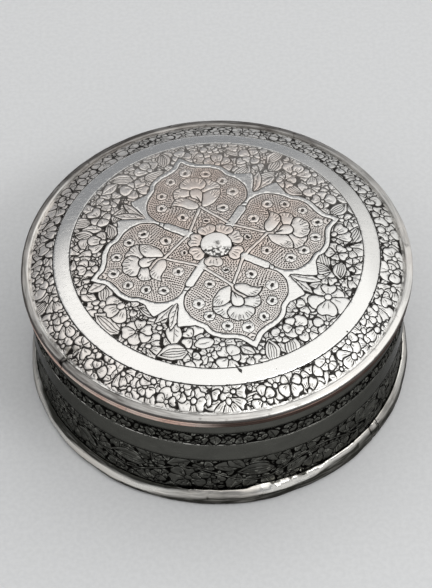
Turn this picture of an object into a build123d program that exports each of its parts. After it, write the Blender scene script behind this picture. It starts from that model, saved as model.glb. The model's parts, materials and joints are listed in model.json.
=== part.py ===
"""Round lidded box in chased silver, about 90 mm across and 39 mm tall, in millimetres.

The origin is at the middle of the foot's flat underside, +Z is up, and -Y faces the viewer.
The body is a plain hoop of sheet on a round base plate, with a half-round foot bent round its lower
edge and a collar soldered inside its mouth. The lid is a domed plate on a hoop of the same outer size
as the body, with a rounded bead bent over its edge and a thin wire soldered below the bead.
The lid lifts straight up off the collar.
"""

import os
from math import asin, cos, degrees, sin, sqrt

from build123d import *

# The two hoops, which are flush with each other on the outside
hoop_outer_radius = 43.75
body_wall_thickness = 0.90

# Heights above the table
foot_recess = 0.60          # the base plate stands this much off the table
base_plate_thickness = 1.00
body_height = 21.70         # table to the mouth of the body
lid_seat_gap = 0.05         # hairline joint between the lid and the body
lid_skirt_height = 10.46    # lid's lower edge to the outer edge of its domed plate

# Collar that the lid slides over
collar_thickness = 0.80
collar_rise = 5.50          # above the body's mouth
collar_depth = 6.50         # below the body's mouth, where it is soldered
collar_fit = 0.20           # between the collar and the inside of the lid
collar_lead_in = 0.35       # rounding of the collar's top edge
hoop_edge_break = 0.12      # worn corner at the mouth and at the lid's lower edge

# Domed top plate: a shallow crown, then a tighter shoulder
plate_thickness = 0.70
crown_radius = 276.0
shoulder_width = 12.55      # from where the crown ends out to the plate's edge
shoulder_radius = 26.50
eye_radius = 3.80           # small dome in the middle of the rosette
eye_rise = 0.55
eye_fullness = 0.75         # share of its rise that the eye has halfway out

# Rounded bead bent over the lid's edge
bead_radius = 1.00
bead_overhang = 1.25        # how far it stands out from the hoop
bead_lift = 0.14            # its centre above the plate's edge
bead_joint_angle = 218.2    # where its ends meet
bead_joint_gap = 0.25

# Round wire under the bead, filed flat where it lies on the hoop
wire_radius = 0.70
wire_projection = 1.05      # how far it stands out from the hoop
wire_slack = 0.12           # between the wire and the bead
solder_film = 0.02          # between the wire and the hoop

# Half-round foot
foot_height = 5.10
foot_projection = 1.65
foot_flat = 0.95            # width that rests on the table
foot_belly_height = 1.75    # where it is widest
foot_lip_width = 0.35       # rounded lip at its top, clear of the wall
foot_groove_depth = 0.75    # between that lip and the wall
foot_joint_angle = 323.6
foot_joint_gap = 0.30

body_inner_radius = hoop_outer_radius - body_wall_thickness
collar_outer_radius = body_inner_radius
lid_inner_radius = collar_outer_radius + collar_fit
base_top = foot_recess + base_plate_thickness
lid_lower_edge = body_height + lid_seat_gap
plate_edge_height = lid_lower_edge + lid_skirt_height
bead_centre_radius = hoop_outer_radius + bead_overhang - bead_radius
bead_centre_height = plate_edge_height + bead_lift

# Centres of the two arcs, built inwards from the plate's edge so that they meet smoothly
shoulder_start = hoop_outer_radius - shoulder_width
shoulder_start_angle = asin(shoulder_start / crown_radius)
shoulder_centre_radius = shoulder_start - shoulder_radius * sin(shoulder_start_angle)
shoulder_reach = hoop_outer_radius - shoulder_centre_radius
shoulder_centre = (
    shoulder_centre_radius,
    plate_edge_height - sqrt(shoulder_radius**2 - shoulder_reach**2),
)
crown_centre_height = shoulder_centre[1] - (crown_radius - shoulder_radius) * cos(shoulder_start_angle)
crown_top = crown_centre_height + crown_radius


def turned(profile, joint_angle=0.0, joint_gap=0.0):
    """Turns a face, drawn with X as the distance from the axis and Y as the height, about the axis.
    A gap leaves the ends of a bent strip that far apart, at the joint's angle."""
    reach = profile.bounding_box().max.X
    open_angle = degrees(joint_gap / reach)
    section = Plane.XZ * profile
    solid = revolve(section, axis=Axis.Z, revolution_arc=360.0 - open_angle)
    return Rot(0, 0, joint_angle + open_angle / 2) * solid


def on_shoulder(angle, inset=0.0):
    """Point of the shoulder arc whose normal leans out by this angle, below the surface by an inset."""
    radius = shoulder_radius - inset
    return (shoulder_centre[0] + radius * sin(angle), shoulder_centre[1] + radius * cos(angle))


def on_crown(distance, inset=0.0):
    """Point of the crown at this distance from the axis, below the surface by an inset."""
    radius = crown_radius - inset
    return (distance, crown_centre_height + sqrt(radius**2 - distance**2))


def dome_lines(inset, reach):
    """The dome's line from the axis outwards: eye, crown and shoulder, out to a distance from the axis."""
    end_angle = asin((reach - shoulder_centre[0]) / (shoulder_radius - inset))
    middle_angle = (shoulder_start_angle + end_angle) / 2
    join = on_shoulder(shoulder_start_angle, inset)
    eye_edge = on_crown(eye_radius, inset)
    eye_middle = (eye_radius / 2, on_crown(eye_radius / 2, inset)[1] + eye_rise * eye_fullness)
    eye_top = (0.0, crown_top - inset + eye_rise)
    lines = [
        ThreePointArc(eye_top, eye_middle, eye_edge),
        ThreePointArc(eye_edge, on_crown((eye_radius + join[0]) / 2, inset), join),
        ThreePointArc(join, on_shoulder(middle_angle, inset), on_shoulder(end_angle, inset)),
    ]
    return lines, eye_top, on_shoulder(end_angle, inset)


def plate_profile():
    """Section of the domed plate, which ends flush with the outside of the lid's hoop."""
    upper, upper_axis, upper_edge = dome_lines(0.0, hoop_outer_radius)
    lower, lower_axis, lower_edge = dome_lines(plate_thickness, hoop_outer_radius)
    edge = Line(upper_edge, lower_edge)
    axis = Line(lower_axis, upper_axis)
    return make_face(upper + [edge] + lower + [axis])


def below_plate_profile():
    """Everything under the plate, out to past the bead."""
    lower, lower_axis, lower_edge = dome_lines(plate_thickness, hoop_outer_radius + 2 * bead_overhang)
    corner = (lower_edge[0], lid_lower_edge)
    ground = (0.0, lid_lower_edge)
    rest = [Line(lower_edge, corner), Line(corner, ground), Line(ground, lower_axis)]
    return make_face(lower + rest)


def ring_profile(inner, outer, bottom, top):
    """Rectangle between two radii and two heights."""
    middle = ((inner + outer) / 2, (bottom + top) / 2)
    return Pos(*middle) * Rectangle(outer - inner, top - bottom)


def make_lid_top_plate():
    return turned(plate_profile())


def skirt_profile():
    tall = ring_profile(lid_inner_radius, hoop_outer_radius, lid_lower_edge, crown_top)
    return tall & below_plate_profile()


def make_lid_skirt():
    skirt = turned(skirt_profile())
    lower_rims = skirt.edges().filter_by(GeomType.CIRCLE).group_by(Axis.Z)[0]
    return chamfer(lower_rims, hoop_edge_break)


def bead_profile():
    """Round section that wraps over the plate's edge and the top of the hoop."""
    centre = (bead_centre_radius, bead_centre_height)
    inside = ring_profile(0.0, hoop_outer_radius, lid_lower_edge, centre[1] + bead_radius)
    lid_hollow = inside & below_plate_profile()
    return Pos(*centre) * Circle(bead_radius) - plate_profile() - lid_hollow


def make_lid_rim_bead():
    return turned(bead_profile(), bead_joint_angle, bead_joint_gap)


def wire_profile():
    """Round section of the wire, flat towards the hoop."""
    seat_radius = hoop_outer_radius + solder_film
    height = bead_centre_height - bead_radius - wire_slack - wire_radius
    centre = (hoop_outer_radius + wire_projection - wire_radius, height)
    hoop_side = ring_profile(0.0, seat_radius, lid_lower_edge, bead_centre_height)
    return Pos(*centre) * Circle(wire_radius) - hoop_side


def make_lid_rim_wire():
    return turned(wire_profile(), bead_joint_angle, bead_joint_gap)


def make_body_wall():
    wall = turned(ring_profile(body_inner_radius, hoop_outer_radius, base_top, body_height))
    mouth = wall.edges().filter_by(GeomType.CIRCLE).group_by(Axis.Z)[-1]
    return chamfer(mouth.sort_by(SortBy.RADIUS)[-1], hoop_edge_break)


def make_body_collar():
    bottom = body_height - collar_depth
    top = body_height + collar_rise
    collar = turned(ring_profile(collar_outer_radius - collar_thickness, collar_outer_radius, bottom, top))
    top_rims = collar.edges().filter_by(GeomType.CIRCLE).group_by(Axis.Z)[-1]
    return fillet(top_rims, collar_lead_in)


def make_base_plate():
    return turned(ring_profile(0.0, hoop_outer_radius, foot_recess, base_top))


def make_foot_ring():
    """Half-round strip with a flat underside, a full belly and a lip that stands clear of the wall."""
    inner_bottom = (hoop_outer_radius, 0.0)
    flat_end = (hoop_outer_radius + foot_flat, 0.0)
    belly = (hoop_outer_radius + foot_projection, foot_belly_height)
    lip = (hoop_outer_radius + foot_lip_width, foot_height)
    groove = (hoop_outer_radius, foot_height - foot_groove_depth)
    profile = make_face(
        [
            Line(inner_bottom, flat_end),
            ThreePointArc(flat_end, belly, lip),
            Line(lip, groove),
            Line(groove, inner_bottom),
        ]
    )
    return turned(profile, foot_joint_angle, foot_joint_gap)


parts = {
    "lid_top_plate": make_lid_top_plate(),
    "lid_rim_bead": make_lid_rim_bead(),
    "lid_rim_wire": make_lid_rim_wire(),
    "lid_skirt": make_lid_skirt(),
    "body_wall": make_body_wall(),
    "body_collar": make_body_collar(),
    "base_plate": make_base_plate(),
    "foot_ring": make_foot_ring(),
}

os.makedirs("parts", exist_ok=True)
for name, shape in parts.items():
    export_step(shape, f"parts/{name}.step")
    print(name, round(shape.volume, 1), [round(v, 2) for v in shape.bounding_box().max])
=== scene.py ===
"""Looks of the round lidded box in chased silver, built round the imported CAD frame.

Sizes are in millimetres until a mesh is made. The plate of the lid, the lid's hoop and the body's hoop are
drawn flat as a chaser draws them, motif behind motif, then every cut is sunk into a net of triangles that is
bent to the dome or rolled to the hoop. Bead, foot and solder are modelled from primitives.
"""

import json
import math
import random

import bpy
import numpy as np
from mathutils import Matrix, Vector, noise
from mathutils.geometry import delaunay_2d_cdt
from mathutils.kdtree import KDTree

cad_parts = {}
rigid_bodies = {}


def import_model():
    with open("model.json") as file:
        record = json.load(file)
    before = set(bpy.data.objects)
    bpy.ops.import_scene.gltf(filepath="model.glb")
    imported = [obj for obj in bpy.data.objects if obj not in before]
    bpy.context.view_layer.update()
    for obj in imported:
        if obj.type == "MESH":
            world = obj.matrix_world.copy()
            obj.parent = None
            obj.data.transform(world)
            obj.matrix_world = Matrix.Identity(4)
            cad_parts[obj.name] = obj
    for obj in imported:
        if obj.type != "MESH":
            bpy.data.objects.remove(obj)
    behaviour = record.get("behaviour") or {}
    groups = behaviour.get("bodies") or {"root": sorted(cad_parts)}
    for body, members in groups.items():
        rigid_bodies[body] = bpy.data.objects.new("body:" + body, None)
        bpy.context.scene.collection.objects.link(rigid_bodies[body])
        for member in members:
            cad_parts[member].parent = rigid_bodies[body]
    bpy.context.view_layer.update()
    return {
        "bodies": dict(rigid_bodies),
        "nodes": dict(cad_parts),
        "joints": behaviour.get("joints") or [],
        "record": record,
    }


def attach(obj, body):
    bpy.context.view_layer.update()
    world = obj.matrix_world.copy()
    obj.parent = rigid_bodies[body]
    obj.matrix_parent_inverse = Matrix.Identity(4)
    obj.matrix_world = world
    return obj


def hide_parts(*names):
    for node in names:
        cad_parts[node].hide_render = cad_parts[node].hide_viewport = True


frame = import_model()
nodes = frame["nodes"]
mm = 0.001
# Blender's noise starts from the clock unless it is seeded, which would shake the lines anew in each run
noise.seed_set(5)

# Sizes of the metal, as in the part's source
hoop_outer_radius = 43.75
body_inner_radius = 42.85
lid_inner_radius = 43.05
base_top = 1.60
body_height = 21.70
lid_lower_edge = 21.75
hoop_edge_break = 0.12
plate_thickness = 0.70
plate_edge_height = 32.21
crown_radius = 276.0
shoulder_start = 31.20
shoulder_radius = 26.50
eye_radius = 3.80
eye_rise = 0.55
bead_radius = 1.00
bead_centre_radius = 44.0
bead_centre_height = 32.35
bead_joint_angle = 218.2
foot_joint_angle = 323.6

shoulder_start_angle = math.asin(shoulder_start / crown_radius)
shoulder_centre_radius = shoulder_start - shoulder_radius * math.sin(shoulder_start_angle)
shoulder_centre_height = plate_edge_height - math.sqrt(
    shoulder_radius**2 - (hoop_outer_radius - shoulder_centre_radius) ** 2
)
crown_centre_height = shoulder_centre_height - (crown_radius - shoulder_radius) * math.cos(shoulder_start_angle)

# Circles cut on the lid, and the heights between which the two hoops are cut
inner_ring, outer_ring, edge_ring = 33.57, 37.44, 42.93
strip_length = 2 * math.pi * hoop_outer_radius
skirt_low, skirt_high = 21.95, 26.35
wall_low, wall_high = 4.4, 16.0

lid_radius = 45.0
outline_cut = 0.18
hair_cut = 0.07
line_step = 0.34
fine_step = 0.09
shortest_step = 0.13
shake, shake_reach = 0.11, 1.2
tau = 2 * math.pi


def polar(radius, angle):
    return np.array([radius * math.cos(angle), radius * math.sin(angle)])


def turned(points, angle):
    c, s = math.cos(angle), math.sin(angle)
    return np.asarray(points, float) @ np.array([[c, s], [-s, c]])


def placed(points, centre, angle=0.0, size=1.0):
    return turned(np.asarray(points, float) * size, angle) + np.asarray(centre, float)


def on_lid(points, angle):
    """Points given in shares of the lid's radius, turned round its middle."""
    return placed(points, (0, 0), angle, lid_radius)


def curve(points, closed=False, per=7):
    """Smooth line through the points."""
    p = np.asarray(points, float)
    if closed:
        p = np.vstack([p[-1], p, p[0], p[1]])
    else:
        p = np.vstack([2 * p[0] - p[1], p, 2 * p[-1] - p[-2]])
    t = np.linspace(0, 1, per, endpoint=False)[:, None]
    parts = []
    for a, b, c, d in zip(p[:-3], p[1:-2], p[2:-1], p[3:]):
        square, cube = a - 2.5 * b + 2 * c - 0.5 * d, 1.5 * (b - c) + 0.5 * (d - a)
        parts.append(b + 0.5 * t * (c - a) + t**2 * square + t**3 * cube)
    if not closed:
        parts.append(p[-2:-1])
    return np.vstack(parts)


def ring(centre, radius, count):
    a = np.linspace(0, tau, count, endpoint=False)
    return placed(np.column_stack([np.cos(a), np.sin(a)]), centre, 0.0, radius)


def closed(points):
    return np.vstack([points, points[:1]])


def mirrored(points):
    points = np.asarray(points)
    return np.column_stack([points[:, 0], -points[:, 1]])[::-1]


def both_sides(half):
    """Closed outline from its upper half, which starts and ends on the middle line."""
    return np.vstack([half, mirrored(half)[1:-1]])


def along_of(line):
    """Distance along a line at each of its points."""
    return np.concatenate([[0], np.cumsum(np.hypot(*np.diff(line, axis=0).T))])


def evenly(points, step):
    """The same line with its points a steady step apart."""
    p = np.asarray(points, float)
    along = along_of(p)
    count = max(2, int(round(along[-1] / step)) + 1)
    at = np.linspace(0, along[-1], count)
    return np.column_stack([np.interp(at, along, p[:, 0]), np.interp(at, along, p[:, 1])])


def shaky(points):
    """The same points a little off, as a hand cuts them."""
    places = (Vector((x / shake_reach, y / shake_reach, 0.0)) for x, y in points)
    return points + shake * np.array([noise.noise_vector(place)[:2] for place in places])


def within(points, outline):
    """Which points lie inside a closed outline."""
    x, y = points[:, :1], points[:, 1:]
    x1, y1 = outline.T
    x2, y2 = np.roll(outline, -1, axis=0).T
    level = np.where(y1 == y2, 1e-12, y2 - y1)
    crossed = ((y1 > y) != (y2 > y)) & (x < (x2 - x1) * (y - y1) / level + x1)
    return crossed.sum(axis=1) % 2 == 1


def between_circles(inner, outer):
    """Test for points of the lid between two circles."""
    return lambda p: (np.hypot(*p.T) > inner) & (np.hypot(*p.T) < outer)


def on_strip(margin, low, high):
    """Test for points of an unrolled hoop, away from its ends and between two heights."""
    return lambda p: (p[:, 0] > margin) & (p[:, 0] < strip_length - margin) & (p[:, 1] > low) & (p[:, 1] < high)


def with_reach(outline):
    """An outline, its middle and how far it reaches from there."""
    middle = outline.mean(axis=0)
    return outline, middle, np.hypot(*(outline - middle).T).max()


class Drawing:
    """Lines for the graver on the flat, in millimetres, drawn from the front motif to the back one.

    Its tone sheet has -1 outside the sheet, 0 where the ground is bare and a shape's own tone where one lies.
    """

    cell = 0.2

    def __init__(self, belongs, low, high, seed, outline=outline_cut, vein=hair_cut):
        self.belongs, self.outline, self.vein = belongs, outline, vein
        self.lines, self.shapes = [], []
        self.reaches = np.zeros((0, 3))
        self.dice = random.Random(seed)
        self.low = np.asarray(low, float)
        xs, ys = (np.arange(a, b, self.cell) + self.cell / 2 for a, b in zip(low, high))
        self.grid = np.stack(np.meshgrid(xs, ys, indexing="ij"), axis=-1)
        self.tone = np.where(belongs(self.grid.reshape(-1, 2)).reshape(self.grid.shape[:2]), 0.0, -1.0)

    def cut(self, points, half_width=None, past=None):
        """Cuts a line wherever no shape drawn earlier covers it."""
        fine = shaky(evenly(points, fine_step))
        bare = self.belongs(fine)
        for outline, centre, reach in self.near(fine) if past is None else past:
            close = bare & (np.hypot(*(fine - centre).T) < reach)
            if close.any():
                bare[close] = ~within(fine[close], outline)
        edges = np.flatnonzero(np.diff(np.concatenate([[0], bare.astype(int), [0]])))
        step = max(min(line_step, len(fine) * fine_step / 13), shortest_step)
        for start, end in edges.reshape(-1, 2):
            if end - start >= 4:
                self.lines.append((evenly(fine[start:end], step), half_width or self.outline))

    def near(self, points):
        """The shapes that may cover some of these points."""
        if not self.shapes:
            return []
        if len(self.reaches) != len(self.shapes):
            self.reaches = np.array([[*middle, reach] for _, middle, reach in self.shapes])
        middle = (points.min(axis=0) + points.max(axis=0)) / 2
        reach = np.hypot(*(points - middle).T).max()
        gap = np.hypot(*(self.reaches[:, :2] - middle).T) - self.reaches[:, 2] - reach
        return [self.shapes[k] for k in np.flatnonzero(gap < 0)]

    def pit(self, centre, radius):
        """Punches a dot, unless a shape covers its place."""
        spot = np.asarray(centre, float)[None, :]
        if self.belongs(spot)[0] and not any(within(spot, outline)[0] for outline, _, _ in self.near(spot)):
            self.lines.append((spot, radius))

    def cover(self, outline, tone):
        """Marks a shape as lying in front of all that is drawn after it."""
        low, high = (
            np.maximum(((end - self.low) / self.cell).astype(int) + more, 0)
            for end, more in ((outline.min(axis=0), 0), (outline.max(axis=0), 1))
        )
        window = (slice(low[0], high[0]), slice(low[1], high[1]))
        part, grid = self.tone[window], self.grid[window]
        if grid.size:
            inside = within(grid.reshape(-1, 2), outline).reshape(part.shape)
            part[inside & (part == 0.0)] = tone
        self.shapes.append(with_reach(outline))

    def shape(self, outline, tone=None, half_width=None, veins=()):
        """A petal, leaf or bud: its outline, its veins and the ground that it hides."""
        self.cut(closed(outline), (half_width or self.outline) * self.dice.uniform(0.8, 1.25))
        for vein in veins:
            self.cut(vein, self.vein * self.dice.uniform(0.8, 1.4))
        self.cover(outline, self.dice.uniform(0.6, 1.0) if tone is None else tone)


# Motifs: each takes the drawing, the place of its base or middle, its direction and its size
petal_rows = [(0.12, 0.0), (0.26, 0.86), (0.6, 1.04), (0.87, 0.86), (1.0, 0.42)]


def petal(centre, angle, size, half_angle, tip=1.0):
    """Plump petal, its tip rounded or nicked."""
    half = [polar(r, a * half_angle) for r, a in petal_rows] + [polar(tip, 0.0)]
    return placed(curve(both_sides(half), True, 4), centre, angle, size)


def flower(d, centre, angle, size, petals=5, eye=0.25):
    """Round flower with plump petals that overlap, most with a raised eye."""
    if d.dice.random() < 0.6:
        d.shape(ring(centre, eye * size * d.dice.uniform(0.75, 1.0), 14), 1.0)
        if eye * size > 0.7:
            d.pit(centre + polar(0.1, angle), 0.15)
    order = list(range(petals))
    d.dice.shuffle(order)
    start = eye + 0.10
    for k in order:
        turn = angle + tau * (k + 0.16 * d.dice.uniform(-1, 1)) / petals
        reach = size * d.dice.uniform(0.74, 1.18)
        veins = []
        count = d.dice.choice((1, 2, 3)) if size > 1.8 else 1
        for side in d.dice.sample((-0.34, -0.2, -0.06, 0.08, 0.22, 0.36), count):
            vein = [polar(start, side), polar(start + d.dice.uniform(0.12, 0.3), side)]
            veins.append(placed(vein, centre, turn, reach))
        tip = d.dice.choice((1.04, 1.0, 0.9, 0.84))
        d.shape(petal(centre, turn, reach, d.dice.uniform(0.98, 1.3) * math.pi / petals, tip), veins=veins)


def leaf(d, base, angle, length, width=0.36, bend=0.0, ribs=2):
    """Pointed leaf with a midrib."""
    half = [(0.0, 0.0), (0.25, 0.75), (0.5, 1.0), (0.78, 0.62), (1.0, 0.0)]
    up, down = ([(x, side * width * y + bend * x * x) for x, y in half] for side in (1, -1))
    veins = [curve([(0.05, 0.0), (0.45, bend * 0.2), (0.82, bend * 0.67)], per=4)]
    side = d.dice.choice((-1, 1))
    for k in range(ribs):
        x = 0.3 + 0.17 * k
        rise = side * width * (0.5 - 0.12 * k)
        veins.append([(x + 0.02, bend * x * x + 0.25 * rise), (x + 0.1, bend * x * x + rise)])
    outline, *veins = (
        placed(line, base, angle, length)
        for line in [np.vstack([curve(up, per=4), curve(down[::-1], per=4)[1:-1]])] + veins
    )
    d.shape(outline, veins=veins)


def fan(d, base, angle, size, scallops=3):
    """Flower seen from the side: a cup, and a fan of petals."""
    cup = both_sides([(0.0, 0.0), (0.14, 0.15), (0.32, 0.14), (0.4, 0.0)])
    d.shape(placed(curve(cup, True, 3), base, angle, size), 0.9)
    spread = 1.15
    step = 2 * spread / scallops
    for k in sorted(range(scallops), key=lambda k: abs(k - (scallops - 1) / 2)):
        turn = angle - spread + step * (k + 0.5)
        reach = size * d.dice.uniform(0.84, 1.08)
        veins = [[polar(0.46, v), polar(d.dice.uniform(0.58, 0.74), v)] for v in (-0.2, -0.02, 0.16)]
        veins = [placed(vein, base, turn, reach) for vein in veins]
        d.shape(petal(base, turn, reach, 0.62 * step, d.dice.choice((1.03, 0.92))), veins=veins)


def bud(d, base, angle, size):
    outline = curve(both_sides([(0.0, 0.0), (0.35, 0.3), (0.75, 0.26), (1.0, 0.0)]), True, 4)
    d.shape(placed(outline, base, angle, size), veins=[placed([(0.3, 0.0), (0.7, 0.0)], base, angle, size)])


def berry(d, centre, angle, size):
    d.shape(ring(centre, size, 12))


def striped_leaf(d, base, angle, length, width=0.42, stripes=4):
    """Broad curled leaf cut with lengthwise stripes."""
    top = curve([(0.0, 0.0), (0.3, width), (0.7, width * 1.1), (1.0, width * 0.5)], per=5)
    low = curve([(1.0, width * 0.5), (0.8, -0.05), (0.4, -0.12), (0.0, 0.0)], per=5)[1:-1]
    outline = placed(np.vstack([top, low]), base, angle, length)
    d.cut(closed(outline))
    for k in range(stripes):
        s = (k + 0.7) / (stripes + 0.4)
        rise = s * width
        stripe = [(0.1, 0.02), (0.38, -0.08 + rise), (0.72, -0.03 + rise), (0.92, 0.12 + 0.6 * s * width)]
        d.cut(placed(curve(stripe, per=4), base, angle, length), 0.1)
    d.cover(outline, d.dice.uniform(0.7, 1.0))


# How far behind its spot a packed motif starts, and its length, in shares of the motif's size
stance = {
    flower: (0, 1),
    fan: (0.55, 1.5),
    leaf: (1, 2.1),
    striped_leaf: (1, 2.0),
    bud: (0.8, 1.7),
    berry: (0, 0.8),
}


def fill(d, passes):
    """Packs motifs behind what is drawn already, large ones first, until only small gaps of ground are left.

    Each pass has a size, the share of bare ground that a motif of it needs round its spot, and the motifs.
    """
    for size, need, motifs in passes:
        span = max(1, int(round(0.72 * size / d.cell)))
        spots = np.argwhere(d.tone == 0.0)
        order = list(range(len(spots)))
        d.dice.shuffle(order)
        for a, b in spots[order]:
            window = d.tone[max(a - span, 0) : a + span + 1, max(b - span, 0) : b + span + 1]
            if d.tone[a, b] != 0.0 or (window == 0.0).mean() < need:
                continue
            angle = d.dice.uniform(0, tau)
            motif = d.dice.choice(motifs)
            grown = size * d.dice.uniform(0.92, 1.15)
            options = ()
            if motif is flower:
                options = (d.dice.choice((5, 5, 5, 6) if grown > 2.2 else (4, 5)),)
            elif motif is fan:
                options = (4 if grown > 2.4 else 3,)
            elif motif is leaf:
                options = (0.3, d.dice.uniform(-0.3, 0.3))
            back, growth = stance[motif]
            motif(d, d.grid[a, b] - polar(grown * back, angle), angle, grown * growth, *options)


# The four-lobed panel, in shares of the lid's radius: (along the lobe's axis, across it)
lobe_count = 4
first_lobe = math.radians(16.05)
lobe_turns = [first_lobe + math.pi / 2 * k for k in range(lobe_count)]
lobe_side = [(0.222, 0.200), (0.262, 0.245), (0.330, 0.266), (0.402, 0.244), (0.462, 0.190)]
lobe_shoulder = [(0.462, 0.190), (0.503, 0.172), (0.536, 0.128), (0.553, 0.080), (0.578, 0.036), (0.622, 0.0)]
lobe_edge = np.vstack([curve(lobe_side, per=6)[:-1], curve(lobe_shoulder, per=6)])
strap_width = 0.0285
radial_strap_half = 0.0235
petal_angles = [114, 68, 26, 332, 262, 208, 163]
dotted_rings = [
    (0.233, 0.109, 0.031), (0.330, 0.191, 0.031), (0.417, 0.163, 0.029), (0.496, 0.095, 0.029),
    (0.540, 0.0, 0.031), (0.168, 0.0, 0.022),
]


def strap_outline():
    """Outer edge of the strap round a lobe."""
    whole = np.vstack([lobe_edge, mirrored(lobe_edge)[1:]])
    step = np.gradient(whole, axis=0)
    normal = np.column_stack([-step[:, 1], step[:, 0]]) / np.hypot(*step.T)[:, None]
    whole = whole + strap_width * normal
    whole[len(lobe_edge) - 1] = (lobe_shoulder[-1][0] + 1.5 * strap_width, 0.0)
    return whole


# Flower that hangs in each lobe, in the same shares; a tip is given twice, which makes it sharp
hanging_drop = [
    (0.309, -0.014), (0.333, -0.026), (0.359, -0.036), (0.383, -0.037), (0.401, -0.025), (0.407, -0.002),
    (0.397, 0.019), (0.373, 0.026), (0.352, 0.020), (0.340, 0.006),
]
left_leaf = [
    (0.277, -0.010), (0.274, -0.040), (0.286, -0.070), (0.309, -0.098), (0.333, -0.117), (0.366, -0.128),
    (0.366, -0.128), (0.376, -0.100), (0.375, -0.072), (0.366, -0.046), (0.345, -0.030), (0.310, -0.018),
]
right_leaf = [
    (0.276, 0.008), (0.274, 0.038), (0.286, 0.065), (0.311, 0.089), (0.324, 0.112), (0.326, 0.138),
    (0.326, 0.138), (0.350, 0.119), (0.369, 0.095), (0.368, 0.064), (0.350, 0.040), (0.322, 0.016),
    (0.300, 0.004),
]
low_petal = [
    (0.403, -0.060), (0.425, -0.075), (0.449, -0.072), (0.462, -0.066), (0.471, -0.056), (0.486, -0.036),
    (0.483, -0.024), (0.491, -0.007), (0.487, 0.022), (0.475, 0.032), (0.468, 0.047), (0.445, 0.060),
    (0.427, 0.052), (0.413, 0.030), (0.395, 0.0), (0.393, -0.040),
]
left_petal = [
    (0.372, -0.126), (0.384, -0.133), (0.398, -0.130), (0.421, -0.122), (0.428, -0.110), (0.442, -0.103),
    (0.458, -0.076), (0.440, -0.040), (0.380, -0.030), (0.368, -0.070),
]
right_petal = [
    (0.368, 0.096), (0.380, 0.106), (0.394, 0.104), (0.416, 0.099), (0.431, 0.083), (0.434, 0.062),
    (0.428, 0.040), (0.395, 0.015), (0.368, 0.028), (0.366, 0.064),
]
# The flower's parts behind the drop: (outline, edge that strokes start from, point they run to, count, length)
hanging_parts = [
    (left_leaf, [(0.318, -0.105), (0.345, -0.121), (0.371, -0.112), (0.375, -0.085)], (0.30, -0.04), 6, 0.32),
    (right_leaf, [(0.326, 0.130), (0.352, 0.112), (0.368, 0.090), (0.364, 0.055)], (0.29, 0.03), 5, 0.22),
    (low_petal, low_petal[2:11], (0.400, -0.005), 9, 0.34),
    (left_petal, left_petal[:7], (0.385, -0.045), 6, 0.34),
    (right_petal, right_petal[:6], (0.385, 0.040), 5, 0.34),
]


def fringe(edge, towards, count, length):
    """Short strokes from along an edge towards a point."""
    edge, whole = np.asarray(edge), np.arange(len(edge))
    strokes = []
    for k, t in enumerate(np.linspace(0.3, len(edge) - 1.3, count)):
        foot = np.array([np.interp(t, whole, edge[:, 0]), np.interp(t, whole, edge[:, 1])])
        out = np.asarray(towards) - foot
        strokes.append(np.array([foot + 0.07 * out, foot + (0.07 + length * (1.0, 0.6, 0.8)[k % 3]) * out]))
    return strokes


def lobe(d, angle):
    grown = d.dice.uniform(1.0, 1.08)
    heart = np.array([0.385, 0.0])

    def bloom(points):
        return on_lid(heart + grown * (np.asarray(points) - heart), angle)

    # the flower that hangs in the lobe
    d.cut(bloom([(0.306, -0.008), (0.330, -0.008), (0.352, -0.004)]), 0.17)
    d.shape(bloom(curve(hanging_drop, True, 4)), 1.0, 0.19)
    for outline, edge, towards, count, length in hanging_parts:
        veins = [bloom(stroke) for stroke in fringe(edge, towards, count, length)]
        d.shape(bloom(curve(outline, True, 4)), None, 0.18, veins)
    # two thin struts from the rosette, meeting at the flower's stalk
    for side in (-1, 1):
        start, end = np.array([0.128, 0.100 * side]), np.array([0.274, 0.0])
        along = (end - start) / np.hypot(*(end - start))
        across = np.array([-along[1], along[0]]) * 0.0092
        bar = on_lid([start + across, end + across, end - across, start - across], angle)
        d.cut(bar[:2], 0.14)
        d.cut(bar[:1:-1], 0.14)
        d.cover(bar, 1.0)
    # rings with a punched dot
    for u, v, r in dotted_rings:
        for side in (-1, 1) if v else (1,):
            place = np.array([u, v * side]) + 0.004 * np.array([d.dice.uniform(-1, 1), d.dice.uniform(-1, 1)])
            centre = on_lid([place], angle)[0]
            size = r * lid_radius * d.dice.uniform(0.94, 1.08)
            a = np.linspace(0, tau, 32, endpoint=False)
            scallop = 1 + 0.05 * np.cos(d.dice.choice((5, 6, 7)) * a + d.dice.uniform(0, 6))
            outline = placed(ring((0, 0), 1.0, 32) * scallop[:, None], centre, 0, size)
            drift = polar(d.dice.uniform(0.16, 0.28), d.dice.uniform(0, 6.3))
            d.pit(centre + drift, 0.46)
            d.pit(centre - 0.6 * drift, 0.55)
            strokes = [d.dice.uniform(0, 6.3) for _ in range(4)]
            strokes = [[centre + polar(0.62 * size, t), centre + polar(0.84 * size, t + 0.2)] for t in strokes]
            d.shape(outline, 1.0, 0.13, strokes)


hatch_tone = 0.3
plain_tone = 2.0
strap_cut = 0.19


def rosette(d):
    """Round eye with seven petals."""
    d.shape(ring((0, 0), 0.0805 * lid_radius, 48), plain_tone, 0.18)
    rows = [(0.070, 0.0), (0.082, 0.28), (0.108, 0.43), (0.134, 0.36), (0.147, 0.17), (0.138, 0.0)]
    outline = curve(both_sides([polar(r, a) for r, a in rows]), True, 5)
    veins = [[polar(0.104, v), polar(0.126, v * 1.2)] for v in (-0.14, 0.0, 0.14)]
    for turn in petal_angles:
        at = math.radians(turn)
        d.shape(on_lid(outline, at), None, 0.18, [on_lid(vein, at) for vein in veins])


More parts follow.
